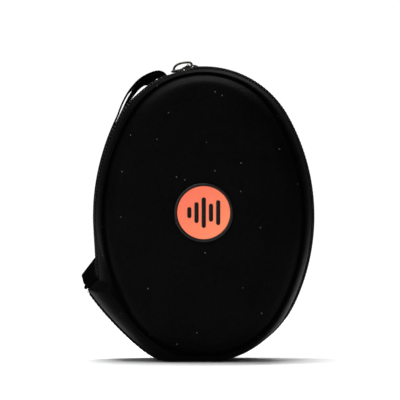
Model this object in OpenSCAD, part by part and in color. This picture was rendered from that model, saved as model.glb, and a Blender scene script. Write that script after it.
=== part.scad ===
// Oval carrying case for folding headphones: two moulded halves joined by a
// straight cloth hinge, closed by a zip that runs round the rest of the rim.
// Frame: +X right, +Z up, the lid faces -Y, and the origin is on the plane that the
// case stands on, under the middle of its bounding box.

/* [Case] */
// Width across the rim binding
case_w = 162.6; // [150:0.2:176]
// Height from the standing flat to the top of the rim binding
case_h = 216; // [206:0.5:228]
// Depth from the lid's panel to the back panel
case_d = 85; // [80:1:100]
// Height of the widest part above the standing flat
waist_h = 106; // [102:0.5:110]
// Radius of the long sides
side_r = 150; // [142:1:165]
// Thickness of the moulded foam
foam_t = 4.2; // [3:0.1:5]
// Thickness of the inner lining
lining_t = 0.8; // [0.5:0.1:1]

/* [Cloth hinge] */
// Direction that the hinge edge faces, in degrees from +X towards +Z
hinge_dir = 223; // [221:0.5:225]
// Distance of the hinge line from the middle of the oval
hinge_dist = 99.2; // [98:0.1:101]
// How far the hinge runs up from the foot of that distance
hinge_up = 19.7; // [18:0.1:21]
// How far the hinge runs down from there
hinge_down = 44.5; // [40:0.5:46]

/* [Zip] */
// Width of one half of the coil
coil_w = 2.35; // [2:0.05:2.6]
// Thickness of the coil
coil_t = 1.8; // [1.4:0.1:2]
// Gap between the two coil halves, which the slider's post runs in
coil_gap = 1.7; // [1.6:0.1:2]
// Place of the slider, in degrees from the top of the case
slider_at = -7.3; // [-9:0.1:0]
// Wire diameter of the pull ring
wire_d = 1.3; // [1:0.1:1.4]
// Length of the pull ring beyond its pin
ring_l = 11; // [9:0.5:13]
// Height of the pull ring
ring_h = 5.2; // [4.6:0.1:6]

/* [Wrist strap] */
// Width of the webbing
strap_w = 10; // [8:0.5:12]
// Thickness of the webbing
strap_t = 1.2; // [1:0.1:1.3]

/* [Badge] */
// Outer diameter of the badge
badge_d = 42.7; // [38:0.1:44]
// Diameter of the coloured disc
disc_d = 38.3; // [34:0.1:39.5]
// Height of the badge's middle above the waist
badge_up = 2.7; // [0:0.1:4]

/* [Hidden] */

$fn = 48;
half_w = case_w / 2;
top_rise = case_h - waist_h;
half_d = case_d / 2;
to_middle = [4.633, 1.15, 0];         // from the middle of the outline to the middle of the whole case
module stand() translate(to_middle) children();
low_drop = waist_h + 0.9;             // the flat cuts 0.9 mm off the rounded bottom
side_centre = side_r - half_w;

// Half widths, from the parting plane, of what fills the gap between the halves
body_gap = 0.15;                      // each body's share of the gap at the parting plane
coil_in = coil_gap / 2;
coil_out = coil_in + coil_w;
bind_in = 5;
rim_in = 7.2;                         // where the moulded halves begin

// Insets from the outline
bind_top = 0.3;
bind_bottom = 2.8;
coil_top = 1.8;
tape_top = 2.4;
tape_bottom = 3;
strap_side_dir = 183.5;               // where the rounded side turns into the straight run
hinge_t = 1.2;                        // thickness of the hinge cloth
hinge_leaf = 12;                      // half width of the hinge cloth

// Radius of the end arcs of an oval with half axes a and b and side radius r
function end_r(a, b, r) = (a * a + b * b - 2 * r * a) / (2 * (b - r));

top_r = end_r(half_w, top_rise, side_r);
top_centre = top_rise - top_r;
top_turn = atan2(top_centre, side_centre);

// The zip's own bottom arc stays just clear of the standing flat
zip_drop = waist_h + 0.2;
zip_low_r = end_r(half_w, zip_drop, side_r);
zip_low_centre = zip_drop - zip_low_r;
zip_low_turn = atan2(zip_low_centre, side_centre);
straight_dist = side_r - side_centre * cos(180 - strap_side_dir);
straight_from = -side_centre * sin(strap_side_dir);
straight_to = straight_from + 36.5;
low_run = 34;                         // straight run of the zip along the bottom

/* ---- outline of one level of a half, as a distance from the middle ---- */

// Distance from the origin to a circle about (cx, cz), along direction t
function to_circle(t, cx, cz, r) =
    let (c = cx * cos(t) + cz * sin(t)) c + sqrt(c * c - cx * cx - cz * cz + r * r);

// Distance from the origin to the line that faces n at distance d, along t
function to_line(t, n, d) = cos(t - n) > 0.05 ? d / cos(t - n) : 1000;

// Four-arc oval with half width a, rise b_up and drop b_low, and side radius r
function oval(t, a, b_up, b_low, r) =
    let (
        b = sin(t) >= 0 ? b_up : b_low,
        er = end_r(a, b, r),
        ec = b - er,
        sc = r - a,
        turn = atan2(ec, sc),
        jx = r * cos(turn) - sc,
        jz = r * sin(turn),
        steep = abs(sin(t)) * jx > abs(cos(t)) * jz
    )
    steep ? to_circle(t, 0, sign(sin(t)) * ec, er)
          : to_circle(t, -sign(cos(t)) * sc, 0, r);

function soft_min(a, b, k) = min(a, b) - pow(max(k - abs(a - b), 0), 2) / (4 * k);

// The heel that carries the hinge: straight left side, step, hinge edge and flat
function heel(t, ds, dh, df) =
    t < strap_side_dir || t > 277 ? 0
    : soft_min(
        min(max(to_line(t, strap_side_dir, straight_dist - max(ds, dh)),
                to_line(t, hinge_dir - 90, max(hinge_up - dh, 1))),
            to_line(t, hinge_dir, hinge_dist - dh)),
        to_line(t, 270, waist_h - df), 6);

// A level is [height above the parting plane, inset at the sides, at the top, at the
// bottom, at the hinge, and at the standing flat]
function level_r(t, v) =
    min(max(oval(t, half_w - v[1], top_rise - v[2], low_drop - v[3], side_r - v[1]),
            heel(t, v[1], v[4], v[5])),
        to_line(t, 270, waist_h - v[5]));

function steps(from, to, n) = [for (i = [0 : n - 1]) from + (to - from) * i / n];
turns = concat(steps(252, 270, 3), steps(270, 555, 38), steps(195, 252, 19));
function wrap(t) = t >= 360 ? t - 360 : t;
angles = [for (t = turns) wrap(t)];
n_turn = len(angles);

function level(v) = [for (t = angles) let (r = level_r(t, v))
    [r * cos(t), -v[0], waist_h + r * sin(t)]];

function disc_level(h, r) = [for (t = angles) [r * cos(t), -h, waist_h + r * sin(t)]];

panel_h = half_d;
outer_levels = [
    [rim_in, 2.6, 2.6, 0.2, hinge_t, 0],
    [13, 2.3, 2.4, 0, hinge_t, 0],
    [20, 2.7, 2.6, 0.1, 2.2, 0],
    [27, 4, 3.3, 1.2, 4.8, 0.8],
    [31.3, 5.6, 4.4, 2.6, 8.5, 2.3],
    [32.6, 6.9, 5.3, 4, 12, 3.8],
    [31.8, 7.8, 6, 5, 15, 4.9],
    [30.4, 8.6, 6.6, 5.8, 20, 5.8],
    [32.4, 9.5, 7.5, 6.9, 24, 6.9],
    [panel_h - 6.1, 12.5, 10.2, 9.8, 28, 9.8],
    [panel_h - 2.9, 19, 16, 16, 36, 16],
    [panel_h - 0.9, 36, 36, 36, 60, 36]];

// Inside faces: the foam's, and the lining's, which is one lining thickness further in
function inside(v, t) = [v[0] > rim_in ? v[0] - t : v[0],
    v[1] + t, v[2] + t, v[3] + t, v[4] + t, v[5] + t];
inner_levels = [
    [rim_in, 2.8 + foam_t, 2.8 + foam_t, 1 + foam_t, 2 + foam_t, 1 + foam_t],
    [25.5, 4.4 + foam_t, 4 + foam_t, 2 + foam_t, 16, 2 + foam_t],
    [32.2, 9.8 + foam_t, 8 + foam_t, 7 + foam_t, 29, 7 + foam_t],
    [half_d - 1.5 - foam_t, 20, 18, 17, 38, 17],
    [half_d - foam_t, 36, 36, 36, 60, 36]];
lining_levels = [for (v = inner_levels) inside(v, lining_t)];

/* ---- solids ---- */

function middle(ring) = [for (c = [0 : 2]) [for (p = ring) p[c]] * [for (p = ring) 1] / len(ring)];

// A bowl between an outside and an inside stack of rings, each closed at its middle
module bowl(outside, inside) {
    no = len(outside);
    ni = len(inside);
    n = n_turn;
    points = concat([for (r = outside) each r], [for (r = inside) each r],
                    [middle(outside[no - 1]), middle(inside[ni - 1])]);
    outside_middle = (no + ni) * n;
    function at(k, i) = k * n + (i % n);
    faces = [
        for (k = [0 : no - 2]) for (i = [0 : n - 1])
            each [[at(k, i), at(k, i + 1), at(k + 1, i)],
                  [at(k, i + 1), at(k + 1, i + 1), at(k + 1, i)]],
        for (i = [0 : n - 1]) [at(no - 1, i), at(no - 1, i + 1), outside_middle],
        for (k = [no : no + ni - 2]) for (i = [0 : n - 1])
            each [[at(k, i), at(k + 1, i), at(k, i + 1)],
                  [at(k, i + 1), at(k + 1, i), at(k + 1, i + 1)]],
        for (i = [0 : n - 1]) [at(no + ni - 1, i + 1), at(no + ni - 1, i), outside_middle + 1],
        for (i = [0 : n - 1])
            each [[at(0, i + 1), at(0, i), at(no, i)],
                  [at(0, i + 1), at(no, i), at(no, i + 1)]]];
    polyhedron(points, faces);
}

// A bar that follows an arc of the outline: heights h, insets d, directions from and to
module arc_bar(cx, cz, r, from, to, h, d) {
    translate([cx, 0, waist_h + cz]) rotate([90, 0, 0]) rotate([0, 0, from])
        rotate_extrude(angle = to - from, $fn = 180)
            translate([r - d[1], h[0]]) square([d[1] - d[0], h[1] - h[0]]);
}

// A straight bar on the line that faces dir at distance dist, from s[0] to s[1] along it
module line_bar(dir, dist, s, h, d) {
    translate([0, 0, waist_h]) rotate([0, -dir, 0])
        translate([dist - d[1], -h[1], s[0]])
            cube([d[1] - d[0], h[1] - h[0], s[1] - s[0]]);
}

// Points along an arc, without its last one
function arc_steps(x, z, r, from, to, n = 32) = [for (t = steps(from, to, n))
    [x + r * cos(t), z + r * sin(t)]];

// The zip's line at inset d, short of its two ends by the length cut
function zip_line(d, cut) = concat(
    [on_line(strap_side_dir, straight_dist - d, straight_to - cut)],
    arc_steps(side_centre, 0, side_r - d, strap_side_dir, 180 - top_turn, 16),
    arc_steps(0, top_centre, top_r - d, 180 - top_turn, top_turn),
    arc_steps(-side_centre, 0, side_r - d, top_turn, -zip_low_turn),
    arc_steps(0, -zip_low_centre, zip_low_r - d, -zip_low_turn, -90, 20),
    [[0, d - zip_drop], [cut - low_run, d - zip_drop]]);
function on_line(dir, dist, s) = [dist * cos(dir) - s * sin(dir), dist * sin(dir) + s * cos(dir)];
function back_to_front(p) = [for (i = [len(p) - 1 : -1 : 0]) p[i]];

// A bar along the zip between heights h and insets d
module zip_bar(h, d, cut = 0) translate([0, -h[0], waist_h]) rotate([90, 0, 0])
    linear_extrude(h[1] - h[0]) polygon(concat(zip_line(d[0], cut), back_to_front(zip_line(d[1], cut))));

module rear_half() mirror([0, 1, 0]) children();

module shell() bowl(concat([for (v = outer_levels) level(v)], [disc_level(panel_h, 27)]),
                    [for (v = inner_levels) level(v)]);
module lining() bowl([for (v = inner_levels) level(v)], [for (v = lining_levels) level(v)]);
module binding() zip_bar([bind_in, rim_in], [bind_top, bind_bottom]);
module zip_tape() zip_bar([coil_out, bind_in], [tape_top, tape_bottom]);
stop_l = 2.5;
module zip_coil() zip_bar([coil_in, coil_out], [coil_top, coil_top + coil_t], 2 + stop_l);
module zip_stops() {
    line_bar(strap_side_dir, straight_dist, [straight_to - 2 - stop_l, straight_to - 2],
             [body_gap, coil_out], [coil_top - 0.3, coil_top + coil_t + 0.3]);
    line_bar(270, zip_drop, [2 - low_run, 2 - low_run + stop_l],
             [body_gap, coil_out], [coil_top - 0.3, coil_top + coil_t + 0.3]);
}
module hinge_cloth() line_bar(hinge_dir, hinge_dist, [0.3 - hinge_up, hinge_down],
                              [body_gap, hinge_leaf], [0, hinge_t]);
module hinge_lining() line_bar(hinge_dir, hinge_dist, [3 + foam_t - hinge_up, hinge_down - 8],
                               [body_gap, rim_in], [2.6 + foam_t, 3.4 + foam_t]);

module rear_shell() color("#1d1d1f") rear_half() shell();
module rear_lining() color("#2b2b2e") rear_half() lining();
module rear_binding() color("#19191a") rear_half() binding();
module rear_zip_tape() color("#333335") rear_half() zip_tape();
module rear_zip_coil() color("#101010") rear_half() zip_coil();
module rear_zip_stops() color("#8a8a8c") rear_half() zip_stops();
module hinge_cloth_rear() color("#1d1d1f") rear_half() hinge_cloth();
module hinge_lining_rear() color("#2b2b2e") rear_half() hinge_lining();

module front_shell() color("#1d1d1f") shell();
module front_lining() color("#2b2b2e") lining();
module front_binding() color("#19191a") binding();
module front_zip_tape() color("#333335") zip_tape();
module front_zip_coil() color("#101010") zip_coil();
module front_zip_stops() color("#8a8a8c") zip_stops();
module hinge_cloth_front() color("#1d1d1f") hinge_cloth();
module hinge_lining_front() color("#2b2b2e") hinge_lining();

/* ---- badge: a dished disc with a plain row of sound bars ---- */

badge_t = 1.2;                        // thickness of the bezel's floor
bezel_rise = 0.9;                     // height of its rim above the floor
disc_t = 0.7;
bar_t = 0.4;
bar_w = 3;
bar_pitch = 5.2;
bar_lengths = [8, 15, 22, 13, 18];

// Places a shape drawn on the lid's panel, with its own Z pointing out of the panel
module on_panel(h) translate([0, -h, waist_h + badge_up]) rotate([90, 0, 0]) children();

module badge_bezel() color("#0c0c0c") on_panel(panel_h) difference() {
    cylinder(d = badge_d, h = badge_t + bezel_rise, $fn = 96);
    translate([0, 0, badge_t]) cylinder(d = disc_d + 0.2, h = bezel_rise + 1, $fn = 96);
}
module badge_disc() color("#ff8a68") on_panel(panel_h + badge_t)
    cylinder(d = disc_d, h = disc_t, $fn = 96);
module badge_bars() color("#0c0c0c") on_panel(panel_h + badge_t + disc_t)
    for (i = [0 : len(bar_lengths) - 1])
        translate([(i - (len(bar_lengths) - 1) / 2) * bar_pitch, 0, 0]) {
            flat = bar_lengths[i] - bar_w;
            translate([-bar_w / 2, -flat / 2, 0]) cube([bar_w, flat, bar_t]);
            for (s = [-1, 1]) translate([0, s * flat / 2, 0]) cylinder(d = bar_w, h = bar_t);
        }

/* ---- mesh pocket inside the lid, drawn empty and lying almost flat ---- */

pocket_gap = 1.75;                    // gap between the empty pocket and the lining
pocket_t = 0.7;
pocket_in = 27;                       // inset of the pocket's edge from the outline
pocket_top = 14;                      // height of the pocket's mouth above the waist
elastic_w = 6;
pocket_h = half_d - foam_t - lining_t - pocket_gap;

function pocket_edge(t) =
    oval(t, half_w - pocket_in, top_rise - pocket_in, low_drop - pocket_in, side_r - pocket_in);
module pocket_outline() polygon([for (t = [0 : 6 : 354]) let (r = pocket_edge(t))
    [r * cos(t), r * sin(t)]]);
module at_pocket() translate([0, -pocket_h, waist_h]) rotate([90, 0, 0]) children();

module accessory_pocket() color("#26262a") at_pocket() linear_extrude(pocket_t)
    intersection() {
        pocket_outline();
        translate([-half_w, -case_h]) square([case_w, case_h + pocket_top - elastic_w]);
    }
module pocket_elastic() color("#141415") translate([0, 0.75, 0]) at_pocket()
    linear_extrude(pocket_t + 0.8) intersection() {
        pocket_outline();
        translate([-half_w, pocket_top - elastic_w]) square([case_w, elastic_w]);
    }

/* ---- slider and pull ---- */

plate_t = 1;
slider_half_w = 4.6;
slider_half_l = 5.4;
slider_turn = atan(slider_half_l / top_r);
plate_top = coil_top - 0.3 - plate_t;             // inset of the top plate's outside
plate_low = coil_top + coil_t + 0.3;              // inset of the bottom plate's inside
pin_r = 0.7;
eye_r = pin_r + 0.1 + wire_d / 2;                 // wire centre line round the pin
pin_lift = -plate_top + 0.25 + eye_r + wire_d / 2;
pin_back = 2.2;                                   // the pin sits behind the slider's middle
cheek_in = wire_d / 2 + 0.35;
cheek_t = 0.9;
cheek_r = 1.3;

// Places a shape at the slider: its own Z points away from the top arc's centre
module on_top_arc(turn) translate([0, 0, waist_h + top_centre]) rotate([0, turn, 0]) children();
module slider_bar(h, d, spread = slider_turn) arc_bar(0, top_centre, top_r,
    90 - slider_at - spread, 90 - slider_at + spread, h, d);
module pin_bar(r, from, to) on_top_arc(slider_at)
    translate([-pin_back, from, top_r + pin_lift]) rotate([-90, 0, 0])
        cylinder(r = r, h = to - from);

module zip_slider() color("#2a2a2c") difference() {
    union() {
        slider_bar([-slider_half_w, slider_half_w], [plate_top, plate_top + plate_t]);
        slider_bar([-slider_half_w, slider_half_w], [plate_low, plate_low + plate_t]);
        slider_bar([-0.45, 0.45], [plate_top + plate_t - 0.2, plate_low + 0.2], 1);
        slider_bar([-slider_half_w, -0.3 - coil_out], [plate_top + plate_t - 0.2, tape_top - 0.3]);
        slider_bar([-slider_half_w, -0.3 - coil_out], [tape_bottom + 0.3, plate_low + 0.2]);
        for (s = [-1, 1]) {
            on_top_arc(slider_at) translate([-pin_back - cheek_r,
                    s > 0 ? cheek_in : -cheek_in - cheek_t, top_r - plate_top - 0.2])
                cube([2 * cheek_r, cheek_t, pin_lift + plate_top + 0.2]);
            pin_bar(cheek_r, s > 0 ? cheek_in : -cheek_in - cheek_t,
                    s > 0 ? cheek_in + cheek_t : -cheek_in);
        }
    }
    pin_bar(pin_r, -4, 4);
}
module slider_pin() color("#8a8a8c") pin_bar(pin_r, -cheek_in - cheek_t, cheek_in + cheek_t);

// The pull is one wire: a small eye round the pin, a straight lower bar and an arch
arch_r = ring_h / 2;
arch_x = arch_r - ring_l;
arch_z = arch_r - eye_r;
// Direction that the wire's upper run faces, tangent to the eye and to the arch
upper = 90 + atan2(arch_z, -arch_x) - asin((arch_r - eye_r) / norm([arch_x, arch_z]));
function arc_points(x, z, r, from, to) = [for (i = [0 : 16]) let (t = from + (to - from) * i / 16)
    [x + r * cos(t), z + r * sin(t)]];
function ring_edge(side) = concat(arc_points(0, 0, eye_r + side, -90, upper),
                                  arc_points(arch_x, arch_z, arch_r + side, upper, 270));
module pull_ring() color("#77777a") on_top_arc(slider_at)
    translate([-pin_back, wire_d / 2, top_r + pin_lift]) rotate([90, 0, 0])
        linear_extrude(wire_d) difference() {
            polygon(ring_edge(wire_d / 2));
            polygon(ring_edge(-wire_d / 2));
        }

/* ---- wrist strap: a closed loop of webbing that lies along the rear rim ---- */

strap_from = 7.7;                     // nearest edge of the webbing to the parting plane
strap_root = 113.7;                   // direction of the strap's root on the top arc
strap_end = 177.5;                    // direction of the far end of the loop
// Lift of each ply's outside above the outline, against the direction round the rim
outer_ply = [[113.7, 0.9], [115.2, 3.6], [117, 5.7], [122, 7.4], [128, 7.8], [136.5, 6.2],
    [144, 4.8], [151, 4], [157, 2.9], [163, 1.9], [170, 0.8], [180, 0.5]];
inner_ply = [[113.7, -0.5], [116, 1], [119, 2.8], [123, 3.9], [129, 3.7], [136.5, 3],
    [144, 2], [151, 0.6], [157, -0.5], [163, -0.8], [180, -0.8]];

function on_rim(t, lift) = t <= 180 - top_turn
    ? [(top_r + lift) * cos(t), (top_r + lift) * sin(t) + top_centre]
    : [(side_r + lift) * cos(t) + side_centre, (side_r + lift) * sin(t)];
function ply(table, drop, from, to) = [for (i = [0 : 32]) let (t = from + (to - from) * i / 32)
    on_rim(t, lookup(t, table) - drop)];
root = on_rim(strap_root, -0.6);

module wrist_strap() color("#0a0a0a") translate([0, strap_from + strap_w, waist_h])
    rotate([90, 0, 0]) linear_extrude(strap_w) union() {
        difference() {
            polygon(concat(ply(outer_ply, 0, strap_root, strap_end),
                           back_to_front(ply(inner_ply, strap_t, strap_root, strap_end))));
            polygon(concat(ply(outer_ply, strap_t, strap_root + 3, strap_end - 0.5),
                           back_to_front(ply(inner_ply, 0, strap_root + 3, strap_end - 0.5))));
        }
        translate(root) circle(r = 1.3);
    }

module strap_anchor() color("#0a0a0a") rear_half() arc_bar(0, top_centre, top_r, 103, 112,
    [strap_from, strap_from + strap_w], [1, 2.2]);

/* ---- folded webbing tab where the zip ends at the top of the hinge ---- */

tab_t = 1.1;
tab_dir = 232.5;                      // direction in which the tab points
// Outlines of the two plies: along the tab from its root, and across it
front_ply = [[0, 0], [18, 0], [21.6, 5.6], [20.4, 9.8], [0, 9.8]];
back_ply = [[0, 1.2], [17.4, 1.2], [22.8, 6.4], [23, 9.8], [0, 9.8]];
fold_ply = [[0, 1.2], [6, 1.2], [6, 9.8], [0, 9.8]];
module tab_ply(y, outline) translate([0, y, waist_h]) rotate([90, 0, 0])
    linear_extrude(tab_t) translate([-79.3, -29.5]) rotate([0, 0, tab_dir]) polygon(outline);
module end_tab() color("#111111") difference() {
    union() {
        tab_ply(-0.1, front_ply);
        tab_ply(tab_t + 0.1, back_ply);
        tab_ply(tab_t / 2, fold_ply);
        line_bar(hinge_dir, hinge_dist, [-hinge_up - 3.2, -hinge_up + 6], [-rim_in, -0.1],
                 [hinge_t + 0.4, 9.2]);
    }
    line_bar(strap_side_dir, straight_dist, [straight_from - 20, straight_to + 1.2],
             [-7.3, 7.3], [-0.3, 20]);
    line_bar(hinge_dir, hinge_dist, [-hinge_up - 0.1, hinge_down], [0, 7.3], [-5, 20]);
}

stand() rear_shell();
stand() rear_lining();
stand() rear_binding();
stand() rear_zip_tape();
stand() rear_zip_coil();
stand() rear_zip_stops();
stand() hinge_cloth_rear();
stand() hinge_lining_rear();
stand() strap_anchor();
stand() end_tab();
stand() front_shell();
stand() front_lining();
stand() front_binding();
stand() front_zip_tape();
stand() front_zip_coil();
stand() front_zip_stops();
stand() hinge_cloth_front();
stand() hinge_lining_front();
stand() badge_bezel();
stand() badge_disc();
stand() badge_bars();
stand() accessory_pocket();
stand() pocket_elastic();
stand() zip_slider();
stand() slider_pin();
stand() pull_ring();
stand() wrist_strap();
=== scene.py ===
import math

import bmesh
import bpy
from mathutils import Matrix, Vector


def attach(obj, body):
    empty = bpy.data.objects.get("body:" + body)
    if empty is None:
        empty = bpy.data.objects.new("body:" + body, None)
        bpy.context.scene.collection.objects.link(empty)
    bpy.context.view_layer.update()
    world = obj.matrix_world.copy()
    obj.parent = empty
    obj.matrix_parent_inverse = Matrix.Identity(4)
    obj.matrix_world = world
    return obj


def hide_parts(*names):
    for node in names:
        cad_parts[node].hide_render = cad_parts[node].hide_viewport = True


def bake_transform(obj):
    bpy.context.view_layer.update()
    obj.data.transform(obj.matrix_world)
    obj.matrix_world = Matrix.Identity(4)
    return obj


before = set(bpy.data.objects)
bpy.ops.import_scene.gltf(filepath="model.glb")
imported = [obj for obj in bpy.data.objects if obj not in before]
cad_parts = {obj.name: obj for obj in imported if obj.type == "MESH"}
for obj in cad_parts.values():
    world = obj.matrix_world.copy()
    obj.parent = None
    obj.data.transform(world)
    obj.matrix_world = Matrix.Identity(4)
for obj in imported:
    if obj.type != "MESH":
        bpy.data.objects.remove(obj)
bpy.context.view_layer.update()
MM = 0.001
MID_X, MID_Y = 4.633, 1.15      # from the middle of the outline to the middle of the whole case

# ---------------------------------------------------------------- outline, in millimetres

CASE_W, CASE_H, CASE_D, WAIST, SIDE_R = 162.6, 216.0, 85.0, 106.0, 150.0
HALF_W, TOP_RISE, LOW_DROP, HALF_D = CASE_W / 2, CASE_H - WAIST, WAIST + 0.9, CASE_D / 2
SIDE_CENTRE = SIDE_R - HALF_W
FOAM, LINING = 4.2, 0.8
HINGE_DIR, HINGE_DIST, HINGE_UP, HINGE_DOWN = 223.0, 99.2, 19.7, 44.5
STRAP_SIDE = 183.5
LOW_RUN = 34.0
ZIP_DROP = WAIST + 0.2


def end_r(a, b, r):
    return (a * a + b * b - 2 * r * a) / (2 * (b - r))


TOP_R = end_r(HALF_W, TOP_RISE, SIDE_R)
TOP_CENTRE = TOP_RISE - TOP_R
TOP_TURN = math.degrees(math.atan2(TOP_CENTRE, SIDE_CENTRE))
ZIP_LOW_R = end_r(HALF_W, ZIP_DROP, SIDE_R)
ZIP_LOW_CENTRE = ZIP_DROP - ZIP_LOW_R
ZIP_LOW_TURN = math.degrees(math.atan2(ZIP_LOW_CENTRE, SIDE_CENTRE))
STRAIGHT_DIST = SIDE_R - SIDE_CENTRE * math.cos(math.radians(180 - STRAP_SIDE))
STRAIGHT_FROM = -SIDE_CENTRE * math.sin(math.radians(STRAP_SIDE))
STRAIGHT_TO = STRAIGHT_FROM + 36.5


def smooth(a, b, x):
    t = min(max((x - a) / (b - a), 0.0), 1.0)
    return t * t * (3 - 2 * t)


def soft_min(a, b, k):
    return min(a, b) - max(k - abs(a - b), 0) ** 2 / (4 * k)


def soft_max(a, b, k):
    return max(a, b) + (max(k - abs(a - b), 0) ** 2 / (4 * k) if k > 1e-6 else 0)


def to_circle(t, cx, cz, r):
    c = cx * math.cos(t) + cz * math.sin(t)
    return c + math.sqrt(max(c * c - cx * cx - cz * cz + r * r, 0))


def to_line(t, n, d):
    k = math.cos(t - math.radians(n))
    return d / k if k > 0.05 else 1000.0


def oval(t, a, b_up, b_low, r):
    s, c = math.sin(t), math.cos(t)
    b = b_up if s >= 0 else b_low
    er = end_r(a, b, r)
    ec, sc = b - er, r - a
    turn = math.atan2(ec, sc)
    jx, jz = r * math.cos(turn) - sc, r * math.sin(turn)
    if abs(s) * jx > abs(c) * jz:
        return to_circle(t, 0, math.copysign(ec, s), er)
    return to_circle(t, -math.copysign(sc, c), 0, r)


def bulge(t):
    """The hinge edge is slightly crowned between its two ends."""
    x = math.cos(t - math.radians(HINGE_DIR))
    if x < 0.3:
        return 0.0
    s = HINGE_DIST * math.tan(t - math.radians(HINGE_DIR))
    return 2.5 * max(0.0, 1 - ((s - 11) / 33) ** 2)


def heel(t, ds, dh, df):
    d = math.degrees(t) % 360
    if d < STRAP_SIDE or d > 277:
        return 0.0
    side = to_line(t, STRAP_SIDE, STRAIGHT_DIST - max(ds, dh))
    step = to_line(t, HINGE_DIR - 90, max(HINGE_UP - dh, 1))
    edge = to_line(t, HINGE_DIR, HINGE_DIST - dh + bulge(t) * max(1 - dh / 25, 0))
    floor = to_line(t, 270, WAIST - df)
    return soft_min(soft_min(soft_max(side, step, 3), edge, 5), floor, 6)


def level_r(t, v):
    d = math.degrees(t) % 360
    k = 5 * smooth(197, 212, d) * (1 - smooth(255, 268, d))
    low = heel(t, v[1], v[4], v[5])
    r = soft_max(oval(t, HALF_W - v[1], TOP_RISE - v[2], LOW_DROP - v[3], SIDE_R - v[1]), low, k)
    return min(r, to_line(t, 270, WAIST - v[5]))


TURNS = [math.radians(d) for d in
         [2 * i for i in range(91)] + [182 + 0.75 * i for i in range(128)] + [278 + 2 * i for i in range(41)]]


def ring(v, side=-1):
    out = []
    for t in TURNS:
        r = level_r(t, v)
        out.append((r * math.cos(t), side * v[0], WAIST + r * math.sin(t)))
    return out


def spline(levels, n):
    """Catmull-Rom through the levels, n steps to each span."""
    out = []
    for i in range(len(levels) - 1):
        p0, p1 = levels[max(i - 1, 0)], levels[i]
        p2, p3 = levels[i + 1], levels[min(i + 2, len(levels) - 1)]
        for j in range(n):
            u = j / n
            out.append([0.5 * (2 * b + (c - a) * u + (2 * a - 5 * b + 4 * c - d) * u * u
                               + (3 * b - a - 3 * c + d) * u ** 3)
                        for a, b, c, d in zip(p0, p1, p2, p3)])
    return out + [levels[-1]]


# Height above the parting plane, then the insets at the sides, top, bottom, hinge and flat
OUTER = [[9, 2.5, 2.5, 0.1, 1.2, 0], [13, 2.3, 2.4, 0, 1.2, 0], [20, 2.7, 2.6, 0.1, 2.2, 0],
         [27, 4, 3.3, 1.2, 4.8, 0.8], [31.3, 5.6, 4.4, 2.6, 8.5, 2.3], [32.6, 6.9, 5.3, 4, 12, 3.8],
         [31.8, 7.8, 6, 5, 15, 4.9], [30.4, 8.6, 6.6, 5.8, 20, 5.8], [32.4, 9.5, 7.5, 6.9, 24, 6.9],
         [36.4, 12.5, 10.2, 9.8, 28, 9.8], [39.6, 19, 16, 16, 36, 16], [41.6, 36, 36, 36, 60, 36]]
INNER = [[7.2, 7.0, 7.0, 5.2, 6.2, 5.2], [25.5, 8.6, 8.2, 6.2, 16, 6.2], [32.2, 14, 12.2, 11.2, 29, 11.2],
         [36.8, 20, 18, 17, 38, 17], [38.3, 36, 36, 36, 60, 36]]


def rim(h, e):
    return [h, 2.5 + e, 2.5 + e, 0.2 + e, 1.2 + e, e]


# ---------------------------------------------------------------- mesh helpers

def make(name, verts, faces, mat, body=None, uv=None, flat=False, recalc=True):
    """A mesh piece from points in millimetres. uv gives one (u, v) for each point, in millimetres."""
    me = bpy.data.meshes.new(name)
    me.from_pydata([((x + MID_X) * MM, (y + MID_Y) * MM, z * MM) for x, y, z in verts], [], faces)
    me.validate()
    if uv:
        layer = me.uv_layers.new(name="weave")
        for loop in me.loops:
            layer.data[loop.index].uv = uv[loop.vertex_index]
    ob = bpy.data.objects.new(name, me)
    bpy.context.scene.collection.objects.link(ob)
    if recalc:
        bm = bmesh.new()
        bm.from_mesh(me)
        bmesh.ops.recalc_face_normals(bm, faces=bm.faces)
        bm.to_mesh(me)
        bm.free()
    for p in me.polygons:
        p.use_smooth = not flat
    me.materials.append(mat)
    if body:
        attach(ob, body)
    return ob


def skin(rings, cap0=True, cap1=True, close_v=False):
    """Points and faces of a tube through rings of equal length, closed by a middle point at each end."""
    n, verts, faces = len(rings[0]), [p for r in rings for p in r], []
    rows = len(rings)
    for k in range(rows if close_v else rows - 1):
        for i in range(n):
            a, b = k * n + i, k * n + (i + 1) % n
            c, d = ((k + 1) % rows) * n + (i + 1) % n, ((k + 1) % rows) * n + i
            faces.append((a, b, c, d))
    for want, k in ((cap0, 0), (cap1, rows - 1)):
        if want and not close_v:
            m = [sum(p[c] for p in rings[k]) / n for c in range(3)]
            verts.append(tuple(m))
            faces += [(len(verts) - 1, k * n + i, k * n + (i + 1) % n) for i in range(n)]
    return verts, faces


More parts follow.
